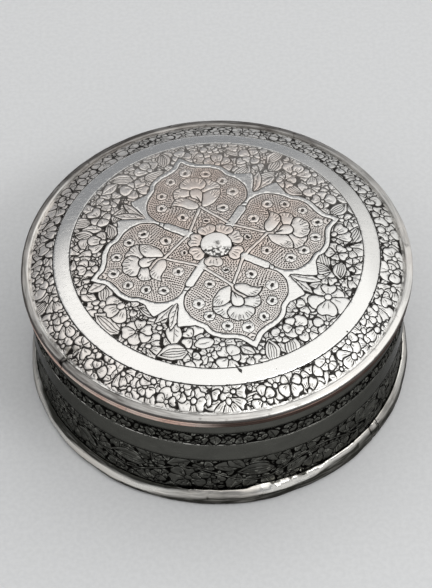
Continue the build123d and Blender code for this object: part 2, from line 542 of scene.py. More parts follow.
# Plain work between two lobes: the flare at the end of a strap, the web that joins both straps, and two knots
trumpet = [
    (0.395, 0.0), (0.435, 0.016), (0.478, 0.034), (0.535, 0.066), (0.520, 0.098), (0.497, 0.137),
    (0.468, 0.160), (0.42, 0.09), (0.38, 0.03),
]
web = [(0.10, -0.045), (0.34, -0.045), (0.415, -0.012), (0.415, 0.012), (0.34, 0.045), (0.10, 0.045)]
knots = [
    ([(0.296, -0.0225), (0.304, -0.008), (0.298, 0.010)], 0.17),
    ([(0.311, 0.0215), (0.324, 0.010), (0.328, -0.010)], 0.15),
]


def medallion(d):
    rosette(d)
    for turn in lobe_turns:
        lobe(d, turn)
    # the hatched ground of each lobe
    e, n = np.array([1, 1]) / math.sqrt(2), np.array([1, -1]) / math.sqrt(2)
    inner = [reach * e + radial_strap_half * n for reach in (0.10, 0.288)]
    half = np.vstack([inner, lobe_edge])
    for turn in lobe_turns:
        outline = on_lid(np.vstack([half, mirrored(half)[1:]]), turn)
        d.cut(outline, strap_cut)
        d.cover(outline, hatch_tone)
    # the straps run into each other, so none is cut where it crosses another
    corners = [turn + math.pi / 4 for turn in lobe_turns]
    plain = [on_lid(strap_outline(), turn) for turn in lobe_turns]
    plain += [on_lid(curve([(p, s * q) for p, q in trumpet], True, 5), a) for a in corners for s in (1, -1)]
    plain += [on_lid(web, a) for a in corners]
    kept, reaches = list(d.shapes), [with_reach(outline) for outline in plain]
    for k, outline in enumerate(plain):
        d.cut(closed(outline), strap_cut, kept + reaches[:k] + reaches[k + 1 :])
    for outline in plain:
        d.cover(outline, plain_tone)
    for a in corners:
        for knot, width in knots:
            d.lines.append((evenly(on_lid(curve(knot, per=5), a), line_step), width))
        for s in (1, -1):
            leaf(d, on_lid([(0.402, 0.0)], a)[0], a + s * 0.21, 0.178 * lid_radius, 0.15, 0.06 * s, 3)


# Motifs whose places show clearly on the lid: (motif, x, y, size, direction in degrees)
anchors = [
    (flower, 24.6, -15.0, 5.6, 20),
    (flower, -18.6, 18.8, 3.6, 50),
    (flower, -17.8, -23.2, 4.6, 10),
    (fan, -20.6, -15.6, 6.2, 205),
    (striped_leaf, -27.6, -17.4, 9.5, 300),
    (striped_leaf, -13.8, -29.8, 8.2, 352),
    (leaf, -9.6, -21.2, 7.6, 262),
    (bud, -5.5, -27.6, 5.4, 12),
    (flower, 2.2, -31.0, 3.4, 0),
    (leaf, 4.6, -28.2, 4.6, 325),
    (flower, 16.6, -23.2, 3.9, 330),
    (striped_leaf, 27.6, -10.2, 6.0, 70),
    (flower, 27.4, -2.4, 3.6, 40),
    (fan, 26.4, 2.6, 5.4, 45),
    (flower, 25.0, 13.5, 3.4, 10),
    (fan, 18.4, 21.8, 5.0, 60),
    (flower, 9.0, 28.6, 3.4, 0),
    (fan, 1.0, 25.2, 5.2, 95),
    (flower, -7.6, 28.4, 3.4, 30),
    (fan, -14.6, 24.2, 4.8, 130),
    (leaf, -22.6, 21.0, 6.0, 215),
    (flower, -26.6, 10.4, 3.6, 0),
    (fan, -25.0, 2.6, 5.0, 165),
    (flower, -29.0, -4.6, 3.4, 60),
    (leaf, -24.6, -9.2, 6.0, 200),
]

lid_passes = [
    (2.6, 0.66, [flower, fan, striped_leaf]),
    (2.2, 0.56, [flower, fan, leaf, flower]),
    (1.7, 0.54, [leaf, fan, flower, leaf]),
    (1.2, 0.58, [leaf, bud, fan]),
    (0.8, 0.64, [bud, berry, leaf]),
]
band_passes = [
    (2.7, 0.55, [flower, flower, fan]),
    (2.4, 0.48, [flower, leaf, flower, fan, striped_leaf]),
    (1.8, 0.50, [leaf, flower, fan, leaf]),
    (1.2, 0.56, [leaf, bud]),
    (0.9, 0.64, [bud, berry, leaf]),
]
wall_passes = [
    (2.8, 0.7, [flower, leaf, fan]),
    (2.0, 0.66, [leaf, striped_leaf, bud, flower]),
    (1.3, 0.66, [leaf, bud]),
    (0.8, 0.7, [bud, berry]),
]


def lid_field():
    """The four-lobed panel and the flowers round it."""
    d = Drawing(between_circles(-1, inner_ring - 0.15), (-34, -34), (34, 34), 7)
    medallion(d)
    for motif, x, y, size, angle in anchors:
        size *= 0.85
        options = {flower: (6 if size > 3.5 else 5, 0.22), leaf: (0.3, 0.1)}.get(motif, ())
        motif(d, np.array([x, y]), math.radians(angle), size, *options)
    fill(d, lid_passes)
    return d


def lid_band():
    d = Drawing(between_circles(outer_ring + 0.15, edge_ring - 0.15), (-43.4, -43.4), (43.4, 43.4), 11)
    fill(d, band_passes)
    return d


def strip(low, high, seed, outline, vein):
    """Blank strip, unrolled from the side of the box, between two heights."""
    belongs = on_strip(0.15, low + 0.12, high - 0.12)
    return Drawing(belongs, (0.0, low), (strip_length, high), seed, outline, vein)


def skirt_band():
    """Small flowers and broad leaves pressed together, cut deep round the lower part of the lid."""
    d = strip(skirt_low, skirt_high, 23, 0.23, 0.10)
    units = 80
    middle = (skirt_low + skirt_high) / 2
    for k in range(units):
        x = strip_length / units * (k + 0.5)
        spot = np.array((x + d.dice.uniform(-0.3, 0.3), middle + d.dice.uniform(-0.4, 0.4)))
        rise = d.dice.choice((-1, 1))
        if k % 2 == 0:
            size = d.dice.uniform(1.7, 2.1)
            flower(d, spot, d.dice.uniform(0, 6), size, d.dice.choice((3, 4)), 0.22)
        elif k % 4 == 1:
            fan(d, spot - (0, 1.7 * rise), rise * (math.pi / 2 + d.dice.uniform(-0.5, 0.5)), 3.2, 2)
        else:
            leaf(d, spot - (0, 1.9 * rise), rise * (math.pi / 2 + d.dice.uniform(-0.5, 0.5)), 3.8, 0.4, 0.1, 1)
    fill(d, [(1.1, 0.6, [bud, leaf])])
    return d


def wall_band():
    """Running vine with broad leaves and flowers round the body, in finer lines."""
    d = strip(wall_low, wall_high, 31, 0.155, 0.08)
    waves = 9
    pitch = strip_length / waves
    swing = 2.7
    middle = (wall_low + wall_high) / 2
    for k in range(2 * waves):
        side = 1 if k % 2 else -1
        spot = np.array([pitch * (k + 0.5) / 2 + d.dice.uniform(-0.5, 0.5), middle + side * 1.5])
        if k % 4 == 0:
            flower(d, spot, d.dice.uniform(0, 6), 4.1, 6, 0.24)
        elif k % 4 == 2:
            fan(d, spot + (0, side * -2.6), side * math.pi / 2 + d.dice.uniform(-0.4, 0.4), 6.2, 4)
        else:
            striped_leaf(d, spot + (-4.2, side * -0.5), -0.2 * side, 9.0, 0.34 * side, 3)
            leaf(d, spot + (4.5, side * -1.2), math.pi - 0.5 * side, 7.0, 0.3, -0.1)
    x = np.linspace(0, strip_length, 40 * waves)
    stem = np.column_stack([x, middle + swing * np.sin(tau * x / pitch)])
    slope = swing * 2 * math.pi / pitch * np.cos(tau * x / pitch)
    across = 0.3 * (np.column_stack([-slope, np.ones_like(x)]) / np.hypot(slope, 1)[:, None])
    d.cut(stem + across)
    d.cut(stem - across)
    d.cover(np.vstack([stem + across, (stem - across)[::-1]]), 1.0)
    fill(d, wall_passes)
    return d


# From flat drawing to metal: cuts sunk into a net of triangles
cut_depth = 0.115
ground_depth = 0.10
hatch_depth = 0.06
hatched_ground_depth = 0.05
petal_crown = 0.07
plain_crown = 0.02
burr = 0.022
tone_of_rest = 0.8
sharp_angle = 58
circle_points = 420
columns = 440


def smooth(t):
    t = np.clip(t, 0, 1)
    return t * t * (3 - 2 * t)


def tapered(line, half_width):
    """Half width of a cut at each of its points: a stroke of the graver runs out thin at both ends."""
    pressure = np.array([1 + 0.32 * noise.noise(Vector((x / 1.1, y / 1.1, 5.0))) for x, y in line])
    if np.allclose(line[0], line[-1]):
        return half_width * pressure
    along = along_of(line)
    return half_width * pressure * np.clip(0.5 + np.minimum(along, along[-1] - along) / 0.6, 0.5, 1)


def samples_of(lines):
    """Closely spaced points along every cut, with the half width there."""
    places, widths = [], []
    for line, half_width in lines:
        if len(line) == 1:
            places.append(line)
            widths.append([half_width])
            continue
        t = np.linspace(0, len(line) - 1, 4 * (len(line) - 1) + 1)
        whole = np.arange(len(line))
        places.append(np.column_stack([np.interp(t, whole, line[:, 0]), np.interp(t, whole, line[:, 1])]))
        widths.append(np.interp(t, whole, tapered(line, half_width)))
    return np.vstack(places), np.concatenate(widths)


class Cuts:
    """Finds the cut nearest to any point of the sheet."""

    def __init__(self, lines):
        self.places, self.widths = samples_of(lines)
        self.tree = KDTree(len(self.places))
        for k, (x, y) in enumerate(self.places):
            self.tree.insert((x, y, 0), k)
        self.tree.balance()

    def nearest(self, points):
        """Distance of each point from its nearest cut, and that cut's half width."""
        found = [self.tree.find((x, y, 0)) for x, y in points]
        return np.array([f[2] for f in found]), self.widths[[f[1] for f in found]]


def borders_of(lines):
    """Points on both edges of every cut."""
    made = []
    for line, half_width in lines:
        if len(line) == 1:
            made += [ring(line[0], half_width, 8), ring(line[0], half_width * 0.5, 5)]
            continue
        step = np.gradient(line, axis=0)
        across = np.column_stack([-step[:, 1], step[:, 0]]) / np.maximum(np.hypot(*step.T), 1e-9)[:, None]
        across *= tapered(line, half_width)[:, None]
        made += [line + across, line - across]
    return np.vstack(made)


def honeycomb(low, high, spacing):
    x, y = np.meshgrid(np.arange(low[0], high[0], spacing), np.arange(low[1], high[1], spacing * 0.866))
    x = x + spacing / 2 * (np.arange(len(y)) % 2)[:, None]
    return np.column_stack([x.ravel(), y.ravel()])


def lay_net(lines, cuts, spread, belongs, frame=()):
    """One net of triangles through the cuts, their borders, the points spread between them and the sheet's
    closed frame. Gives its points, its triangles and the numbers of the frame's points."""
    edges, points, count = [], [], 0
    for line, _ in lines:
        edges += [(count + k, count + k + 1) for k in range(len(line) - 1)]
        points.append(line)
        count += len(line)
    n = len(frame)
    if n:
        edges += [(count + k, count + (k + 1) % n) for k in range(n)]
        points.append(frame)
    borders = borders_of(lines)
    gap, width = cuts.nearest(borders)
    borders = borders[(gap > 0.85 * width) & belongs(borders)]
    gap, width = cuts.nearest(spread)
    spread = spread[(gap > width + 0.13) & belongs(spread)]
    flat = [Vector(p) for p in np.vstack(points + [borders, spread])]
    out, _, faces, came_from, _, _ = delaunay_2d_cdt(flat, edges, [], 0, 1e-5)
    place = {original: k for k, originals in enumerate(came_from) for original in originals}
    return np.array([(v.x, v.y) for v in out]), np.array(faces), [place[count + k] for k in range(n)]


def points_used(faces, count):
    """The points that the faces use, and the new number of each point once the others are gone."""
    used = np.unique(faces)
    number = np.full(count, -1)
    number[used] = np.arange(len(used))
    return used, number


def tone_at(drawing, points):
    """Tone that the drawing gives each point, -1 where it doesn't reach."""
    tone = np.full(len(points), -1.0)
    cell = ((points - drawing.low) / drawing.cell).astype(int)
    inside = (cell >= 0).all(axis=1) & (cell < drawing.tone.shape).all(axis=1)
    tone[inside] = drawing.tone[cell[inside, 0], cell[inside, 1]]
    return tone


def relief(points, cuts, drawing, hatch=None):
    """Height of the metal over the flat sheet, and what the finish needs to know, at each point."""
    gap, width = cuts.nearest(points)
    tone = tone_at(drawing, points)
    cut = np.clip(1 - gap / width, 0, 1)
    rise = smooth((gap - 0.6 * width) / 0.55)
    beside = smooth((gap - 0.3 * width) / 0.12)
    ground = (tone == 0.0) * beside
    hatched = (tone == hatch_tone) * 1.0
    # motifs have tones from 0.6 to 1
    motif = (tone > 0.5) & (tone < 1.9)
    height = np.where(motif, petal_crown * rise, 0.0)
    height += np.where(tone == plain_tone, plain_crown * rise, 0.0)
    height -= ground_depth * ground
    trough = np.zeros(len(points))
    if hatch is not None:
        trough = hatch(points) * hatched * smooth((gap - width) / 0.1)
        height -= hatched_ground_depth * hatched * beside + hatch_depth * trough
    height += burr * (tone != 0.0) * np.exp(-(((gap - width) / 0.13) ** 2))
    height -= cut_depth * (width / outline_cut) * cut
    facts = {
        "cut": cut,
        "ground": ground,
        "trough": trough,
        "lobe": hatched,
        "plain": ((tone < 0.0) | (tone == plain_tone)) * 1.0,
        "tone": np.where(motif, tone, tone_of_rest),
        "soot": np.exp(-np.maximum(gap - width, 0) / 0.14),
        "eye": np.zeros(len(points)),
        "edge": np.zeros(len(points)),
    }
    return height, facts


def wobble(points, reach, amount, seed):
    """Slow unevenness of hand-worked metal."""
    return amount * np.array([noise.noise(Vector(p) / reach + Vector((seed, 0, 0))) for p in points])


def choose(piece):
    """Selects this piece alone."""
    bpy.ops.object.select_all(action="DESELECT")
    piece.select_set(True)
    bpy.context.view_layer.objects.active = piece


def edit(piece, action):
    """Runs one step of modelling on the piece in edit mode."""
    choose(piece)
    bpy.ops.object.mode_set(mode="EDIT")
    action()
    bpy.ops.object.mode_set(mode="OBJECT")


def face_outwards():
    bpy.ops.mesh.select_all(action="SELECT")
    bpy.ops.mesh.normals_make_consistent(inside=False)


class Shell:
    """Closes a relief sheet with plain rings of points round its back."""

    def __init__(self, places, faces, facts, flat):
        self.places, self.facts, self.flat = [places], facts, flat
        self.count = len(places)
        self.faces = faces.tolist()

    def ring(self, before, places):
        """Adds a ring of points and joins it to the ring before."""
        new = list(range(self.count, self.count + len(before)))
        self.places.append(places)
        self.count += len(before)
        self.join(before, new)
        return new

    def join(self, before, after):
        n = len(before)
        self.faces += [(before[k], before[(k + 1) % n], after[(k + 1) % n], after[k]) for k in range(n)]

    def cap(self, before, place):
        """Closes a ring to one point on the axis."""
        n = len(before)
        self.places.append(np.array([place]))
        self.faces += [(before[k], before[(k + 1) % n], self.count) for k in range(n)]
        self.count += 1

    def build(self, name):
        """Makes the closed piece, with its facts as attributes and a flat map."""
        places = np.vstack(self.places)
        extra = len(places) - len(self.flat)
        # the plain back lies small in the map's far corner
        flat = np.vstack([self.flat, places[len(self.flat) :, :2] / 1400 + 0.965])
        mesh = bpy.data.meshes.new(name)
        mesh.from_pydata((places * mm).tolist(), [], self.faces)
        for key, values in self.facts.items():
            behind = np.full(extra, tone_of_rest if key == "tone" else 0.0)
            values = np.concatenate([values, behind]).astype(np.float32)
            mesh.attributes.new(key, "FLOAT", "POINT").data.foreach_set("value", values)
        corner = np.zeros(len(mesh.loops), int)
        mesh.loops.foreach_get("vertex_index", corner)
        mesh.uv_layers.new(name="flat").data.foreach_set("uv", flat[corner].astype(np.float32).ravel())
        piece = bpy.data.objects.new(name, mesh)
        bpy.context.scene.collection.objects.link(piece)
        edit(piece, face_outwards)
        bpy.ops.object.shade_smooth_by_angle(angle=math.radians(sharp_angle))
        return piece


def dome(reach):
    """Height of the lid's upper face and its outward tilt, at these distances from the axis."""
    reach = np.asarray(reach, float)
    on_crown = reach < shoulder_start
    inner = np.minimum(reach, shoulder_start)
    out = np.clip(reach - shoulder_centre_radius, 0, shoulder_radius)
    height = np.where(
        on_crown,
        crown_centre_height + np.sqrt(crown_radius**2 - inner**2),
        shoulder_centre_height + np.sqrt(shoulder_radius**2 - out**2),
    )
    tilt = np.where(on_crown, np.arcsin(inner / crown_radius), np.arcsin(out / shoulder_radius))
    in_eye = reach < eye_radius
    height = height + np.where(in_eye, eye_rise * (1 - (reach / eye_radius) ** 2), 0.0)
    tilt = tilt + np.where(in_eye, np.arctan(2 * eye_rise * reach / eye_radius**2), 0.0)
    return height, tilt


def on_dome(points, raised):
    """Bends a flat sheet to the dome, each point raised along the metal's own direction."""
    reach = np.maximum(np.hypot(*points.T), 1e-9)
    height, tilt = dome(reach)
    out = (reach + raised * np.sin(tilt)) / reach
    return np.column_stack([points * out[:, None], height + raised * np.cos(tilt)])


def on_hoop(points, raised):
    """Rolls a flat strip round the hoop, starting from the seam at the back."""
    turn = math.pi / 2 + points[:, 0] / hoop_outer_radius
    out = hoop_outer_radius + raised
    return np.column_stack([out * np.cos(turn), out * np.sin(turn), points[:, 1]])


def circle_line(radius):
    return closed(ring((0, 0), radius, circle_points))


# Rows of short dashes struck side by side, which follow each lobe's outline inwards
row_pitch, dash_pitch = 0.52, 0.50
row_count = 22
lobe_middle = np.array([16.4, 0.0])
lobe_half = np.vstack([[(0.10, 0.06), (0.19, 0.17)], lobe_edge])
lobe_whole = np.vstack([lobe_half, mirrored(lobe_half)]) * lid_radius - lobe_middle
lobe_directions = np.arctan2(lobe_whole[:, 1], lobe_whole[:, 0])
lobe_order = np.argsort(lobe_directions)
lobe_directions, lobe_reaches = lobe_directions[lobe_order], np.hypot(*lobe_whole[lobe_order].T)


def reach_at(turn):
    """How far a lobe's hatched ground reaches from its middle, a little uneven."""
    steady = np.interp(turn, lobe_directions, lobe_reaches, period=tau)
    return steady + 0.09 * np.sin(13 * turn) + 0.06 * np.sin(29 * turn + 1)


def dashes_in(row):
    return np.maximum(np.round(tau * (lobe_reaches.mean() - (row + 0.5) * row_pitch) / dash_pitch), 12)


def lobe_of(p):
    """Number of the lobe in whose quarter each point lies."""
    turn = np.arctan2(p[:, 1], p[:, 0]) - first_lobe + math.pi / 4
    return (np.floor(turn / (math.pi / 2)).astype(int)) % lobe_count


def hatch(p):
    """Strength of the dashes at each point."""
    out, lobes = np.zeros(len(p)), lobe_of(p)
    for number, lobe_turn in enumerate(lobe_turns):
        mine = lobes == number
        q = turned(p[mine], -lobe_turn) - lobe_middle
        turn = np.arctan2(q[:, 1], q[:, 0])
        rows = np.maximum((reach_at(turn) - np.hypot(*q.T)) / row_pitch, 0)
        row = np.floor(rows)
        across = np.clip(1.7 - 3.4 * np.abs(rows - row - 0.5), 0, 1)
        phase = turn * dashes_in(row) / tau + 0.5 * row
        out[mine] = across * (0.5 + 0.5 * np.cos(tau * phase))
    return out


def hatch_points(drawing):
    """Points for the net at the dashes, between them and between their rows."""
    made = []
    for number, lobe_turn in enumerate(lobe_turns):
        for row in range(row_count):
            count = int(dashes_in(row))
            for share, offset in ((0.34, 0.0), (0.66, 0.0), (0.5, 0.5), (0.0, 0.0), (0.0, 0.5)):
                turn = (np.arange(count) - 0.5 * row + offset) * 2 * math.pi / count
                turn = (turn + math.pi) % tau - math.pi
                out = reach_at(turn) - (row + share) * row_pitch
                p = np.column_stack([out * np.cos(turn), out * np.sin(turn)])[out > 1.5] + lobe_middle
                p = turned(p, lobe_turn)
                p = p[lobe_of(p) == number]
                made.append(p[tone_at(drawing, p) == hatch_tone])
    return made


# Slips of the graver and dents in the plain band, with the half width of each: by place, then those of the
# outer band beside the bead's joint
slips = [
    (np.array([[3.3, -32.7], [3.9, -33.6], [4.7, -34.7]]), 0.15),
    (np.array([[28.4, -23.7]]), 0.27),
    (np.array([[-30.2, 12.6]]), 0.14),
    (np.array([[12.3, -33.7]]), 0.12),
]
border_slips = [
    (np.array([[-30.9, -26.2], [-32.0, -26.9], [-33.6, -26.9]]), 0.34),
    (np.array([[-31.0, -28.2], [-32.0, -27.7], [-33.3, -27.6]]), 0.28),
]
inner_line = (circle_line(inner_ring), 0.14)
outer_line = (circle_line(outer_ring), 0.15)
edge_line = (circle_line(edge_ring), 0.15)


def lid_shell(net, faces, height, facts):
    """A sheet of the lid bent to the dome, and its points on the second circle in order of their direction."""
    places = on_dome(net, height)
    places[:, 2] += wobble(places, 9.0, 0.035, 3.0)
    on = np.flatnonzero(np.abs(np.hypot(*net.T) - outer_ring) < 0.012)
    circle = on[np.argsort(np.arctan2(net[on, 1], net[on, 0]))]
    return Shell(places, faces, facts, net / 100 + 0.5), circle.tolist()


def behind(shell, rim, reaches):
    """Rings on the plate's inner face, from the rim through these distances from the axis."""
    places = shell.places[0][rim, :2]
    flat = places / np.hypot(*places.T)[:, None]
    for reach in reaches:
        rim = shell.ring(rim, on_dome(flat * reach, np.full(len(rim), -plate_thickness)))
    return rim


def make_lid_centre():
    """Eye, four-lobed panel, flowers and the plain band, out to the second circle."""
    d = lid_field()
    lines = d.lines + [inner_line, outer_line] + slips
    cuts = Cuts(lines)
    spread = honeycomb((-38, -38), (38, 38), 0.52)
    spread = np.vstack([spread[tone_at(d, spread) != hatch_tone]] + hatch_points(d))
    net, faces, _ = lay_net(lines, cuts, spread, between_circles(-1, outer_ring - 0.1))
    height, facts = relief(net, cuts, d, hatch)
    in_eye = np.hypot(*net.T) < eye_radius - 0.25
    height[in_eye] = 0.0
    facts["eye"] = in_eye * 1.0
    shell, rim = lid_shell(net, faces, height, facts)
    rim = behind(shell, rim, [outer_ring, 34.0, 31.2, 26.0, 20.0, 14.0, 8.0, 3.8, 1.9])
    shell.cap(rim, (0.0, 0.0, dome([0.0])[0][0] - plate_thickness))
    return shell.build("lid_plate_centre")


def make_lid_border():
    """Band of flowers from the second circle out to the plate's edge, which the bead covers."""
    d = lid_band()
    lines = d.lines + [outer_line, edge_line] + border_slips
    cuts = Cuts(lines)
    rim_radius = hoop_outer_radius - 0.02
    belongs = between_circles(outer_ring + 0.1, rim_radius - 0.15)
    frame = ring((0, 0), rim_radius, circle_points)
    net, faces, edge = lay_net(lines, cuts, honeycomb((-44, -44), (44, 44), 0.5), belongs, frame)
    inner_disc = np.hypot(*net.T) < outer_ring + 0.012
    faces = faces[~inner_disc[faces].all(axis=1)]
    used, number = points_used(faces, len(net))
    net, faces, edge = net[used], number[faces], number[edge].tolist()
    shell, inner = lid_shell(net, faces, *relief(net, cuts, d))
    last = behind(shell, edge, [hoop_outer_radius - 0.03, 41.5, 39.4, outer_ring])
    # the ring behind starts where the circle in front does
    turns = np.arctan2(*net[edge].T[::-1])
    start = int(np.argmin(np.abs(turns - math.atan2(*net[inner[0]][::-1]))))
    shell.join(last[start:] + last[:start], inner)
    return shell.build("lid_plate_border")


def straight(height):
    x = np.linspace(0, strip_length, columns + 1)
    return np.column_stack([x, np.full(len(x), height)])


def rolled_strip(name, d, circle, width, bottom, top, inside, painted_highlight_rows=()):
    """A hoop cut on its outside: rolled from a flat strip whose ends are soldered at the back. Its one cut
    circle has a height and a half width. Rows of points near its lower edge, where given, hold a painted
    highlight along that edge. Inside is its plain profile, from the upper edge round to the lower: (radius,
    height)."""
    lines = d.lines + [(straight(circle), width)]
    cuts = Cuts(lines)
    rows = np.round(np.linspace(bottom, top, int((top - bottom) / 0.7) + 2)[1:-1], 4)
    rows = sorted([circle] + [row for row in rows if abs(row - circle) > 0.12])
    n, h = columns + 1, len(rows)
    right = np.array([(strip_length, row) for row in rows])
    frame = np.vstack([straight(bottom), right, straight(top)[::-1], right[::-1] * (0, 1)])
    spread = honeycomb((0, bottom), (strip_length, top), 0.6)
    for rise in painted_highlight_rows:
        spread = np.vstack([spread[np.abs(spread[:, 1] - bottom - rise) > 0.15], straight(bottom + rise)])
    net, faces, found = lay_net(lines, cuts, spread, on_strip(0.2, bottom + 0.1, top - 0.1), frame)
    # the strip's right end becomes its left one
    low_ring, high_ring = found[:n], found[n + h : 2 * n + h][::-1]
    merged = np.arange(len(net))
    merged[low_ring[-1]], merged[high_ring[-1]] = low_ring[0], high_ring[0]
    merged[found[n : n + h]] = found[: 2 * n + h - 1 : -1]
    faces = merged[faces]
    used, number = points_used(faces, len(net))
    height, facts = relief(net, cuts, d)
    if painted_highlight_rows:
        # painted highlight along the lower edge, strongest round the left front where the edge catches the
        # light
        turn = 90 + np.degrees(net[:, 0] / hoop_outer_radius)
        lit = 0.3 + 0.7 * smooth((turn - 180) / 20) * smooth((282 - turn) / 25)
        facts["edge"] = lit * (net[:, 1] < bottom + 0.5 * sum(painted_highlight_rows))
    net, height = net[used], height[used]
    facts = {key: values[used] for key, values in facts.items()}
    raised = height + wobble(on_hoop(net, height), 12.0, 0.05, 8.0)
    shell = Shell(on_hoop(net, raised), number[faces], facts, net / 300)
    turn = math.pi / 2 + np.linspace(0, strip_length, n)[:-1] / hoop_outer_radius
    around = np.column_stack([np.cos(turn), np.sin(turn)])
    last = number[high_ring[:-1]].tolist()
    for radius, z in inside:
        last = shell.ring(last, np.column_stack([around * radius, np.full(columns, z)]))
    shell.join(last, number[low_ring[:-1]].tolist())
    return shell.build(name)


def make_lid_hoop():
    bottom, top = lid_lower_edge + hoop_edge_break, 31.35
    inside = [
        (hoop_outer_radius - 0.1, top),
        (lid_inner_radius, top),
        (lid_inner_radius, 28.0),
        (lid_inner_radius, bottom),
        (lid_inner_radius + hoop_edge_break, lid_lower_edge),
        (hoop_outer_radius - hoop_edge_break, lid_lower_edge),
    ]
    return rolled_strip("lid_hoop", skirt_band(), skirt_high, 0.12, bottom, top, inside, (0.15, 0.30))


def make_body_hoop():
    inside = [
        (hoop_outer_radius - hoop_edge_break, body_height),
        (body_inner_radius, body_height),
        (body_inner_radius, 14.0),
        (body_inner_radius, base_top),
        (hoop_outer_radius - 0.02, base_top),
    ]
    bottom, top = base_top + 0.1, body_height - hoop_edge_break
    return rolled_strip("body_hoop", wall_band(), wall_high, 0.16, bottom, top, inside)


# Bead, foot and solder, modelled from primitives
def settle(name):
    """Names the piece just added and puts its place in its mesh."""
    piece = bpy.context.object
    piece.name = piece.data.name = name
    choose(piece)
    bpy.ops.object.transform_apply(location=True, rotation=True, scale=True)
    return piece


def places_of(piece):
    co = np.zeros(len(piece.data.vertices) * 3)
    piece.data.vertices.foreach_get("co", co)
    return co.reshape(-1, 3) / mm


def move_to(piece, places):
    piece.data.vertices.foreach_set("co", (places * mm).ravel())
    piece.data.update()


def turn_from(turn, angle):
    """Signed turn in degrees from an angle."""
    return (turn - angle + 180) % 360 - 180


def span(turn, start, rise, end, fall):
    """1 between two angles, rising after the first and falling before the second."""
    return smooth((turn - start) / rise) * smooth((end - turn) / fall)


def hump(turn, width):
    return np.exp(-((turn / width) ** 2))


def finish_shape(piece, places, sharp, **facts):
    """Moves the piece's points, keeps the values that its finish reads at each, and smooths its faces."""
    move_to(piece, places)
    for name, values in facts.items():
        fact = piece.data.attributes.new(name, "FLOAT", "POINT")
        fact.data.foreach_set("value", np.full(len(places), values, np.float32))
    choose(piece)
    bpy.ops.object.shade_smooth_by_angle(angle=math.radians(sharp))
    return piece


bead_gap = 0.42


def make_bead():
    """Round bead bent over the lid's edge, its two ends butted and worn."""
    bpy.ops.object.select_all(action="DESELECT")
    bpy.ops.mesh.primitive_torus_add(
        location=(0, 0, bead_centre_height * mm),
        rotation=(0, 0, math.radians(bead_joint_angle)),
        major_radius=bead_centre_radius * mm,
        minor_radius=bead_radius * mm,
        major_segments=720,
        minor_segments=26,
    )
    bead = settle("lid_bead")
    mesh = bead.data
    for group in (mesh.vertices, mesh.edges, mesh.polygons):
        group.foreach_set("select", np.zeros(len(group), bool))
    for face in mesh.polygons:
        turn = math.degrees(math.atan2(face.center.y, face.center.x)) % 360
        face.select = abs(turn_from(turn, bead_joint_angle)) < bead_gap
    edit(bead, lambda: bpy.ops.mesh.delete(type="FACE"))

    def close_ends():
        bpy.ops.mesh.select_all(action="DESELECT")
        bpy.ops.mesh.select_non_manifold()
        bpy.ops.mesh.fill_holes(sides=0)
        face_outwards()

    edit(bead, close_ends)
    places = places_of(bead)
    reach = np.hypot(places[:, 0], places[:, 1])
    azimuth = np.degrees(np.arctan2(places[:, 1], places[:, 0])) % 360
    turn = turn_from(azimuth, bead_joint_angle)
    section = np.arctan2(places[:, 2] - bead_centre_height, reach - bead_centre_radius)
    up, outward = np.sin(section), np.cos(section)
    # the bent strip is hammered flat along its top, and is worn thin beside the joint
    flat = np.minimum(bead_radius * (0.72 / np.maximum(np.cos(section - 1.35), 0.3) - 1), 0)
    worn = -0.38 * hump(turn, 1.2) - 0.14 * hump(turn - 4.2, 1.6)
    rough = wobble(places, 5.0, 0.10, 21.0) + wobble(places, 1.4, 0.05, 40.0)
    thin = np.minimum(1 + (flat + worn * (up > -0.3) + rough) / bead_radius, 1.0)
    out = bead_centre_radius + (reach - bead_centre_radius) * thin
    step = np.where(turn > 0, 0.10, -0.22) * np.exp(-np.abs(turn) / 2.4)
    places[:, :2] *= ((out + step) / reach)[:, None]
    places[:, 2] = bead_centre_height + (places[:, 2] - bead_centre_height) * thin + 0.5 * np.minimum(step, 0)
    # painted light and shade with some wear: bright to the right and the front where the light falls, dull
    # behind and to the left, and painted shade below an edge
    shares = (0.62, 0.52, 0.20, 0.18, 0.10, 0.02, 0.16, 0.14, 0.28, 0.58, 0.92, 1.0)
    bright = np.interp(azimuth, np.arange(0, 360, 30), shares, period=360)
    angles = (0, 20, 60, 130, 160, 200, 225, 300, 318, 340, 352)
    edges = (0.10, 0.30, 0.50, 0.50, 0.80, 0.80, 0.50, 0.50, 0.66, 0.72, 0.30)
    edge = np.interp(azimuth, angles, edges, period=360)
    # painted highlight: a bright line along the inside at the left
    bright += span(azimuth, 125, 40, 222, 18) * (0.16 + 0.62 * smooth((-0.2 - outward) / 0.45))
    stain = 1.0 * hump(turn, 0.75) + 0.45 * hump(turn - 1.6, 1.5) * (outward < 0.2)
    return finish_shape(
        bead,
        places,
        50,
        worn=bright - 1.3 * smooth((edge - up) / 0.42) * (outward > -0.3),
        # the joint's real stain, and painted shade on the bead's underside
        hollow=stain + 0.4 * smooth((-0.55 - up) / 0.3),
        along=turn % 360 * math.pi / 180 * bead_centre_radius,
        across=section,
    )


notch_angle = 321.4
foot_inner_radius = 43.75
foot_width = 1.65
foot_section = [
    (43.75, 0.0), (44.25, 0.0), (44.68, 0.02), (45.02, 0.30), (45.25, 0.75), (45.38, 1.30), (45.40, 1.85),
    (45.33, 2.45), (45.18, 3.05), (44.98, 3.65), (44.74, 4.20), (44.52, 4.62), (44.34, 4.92), (44.18, 5.06),
    (44.06, 5.06), (43.98, 4.94), (43.90, 4.70), (43.83, 4.48), (43.78, 4.36), (43.75, 4.20), (43.75, 2.8),
    (43.75, 1.4),
]


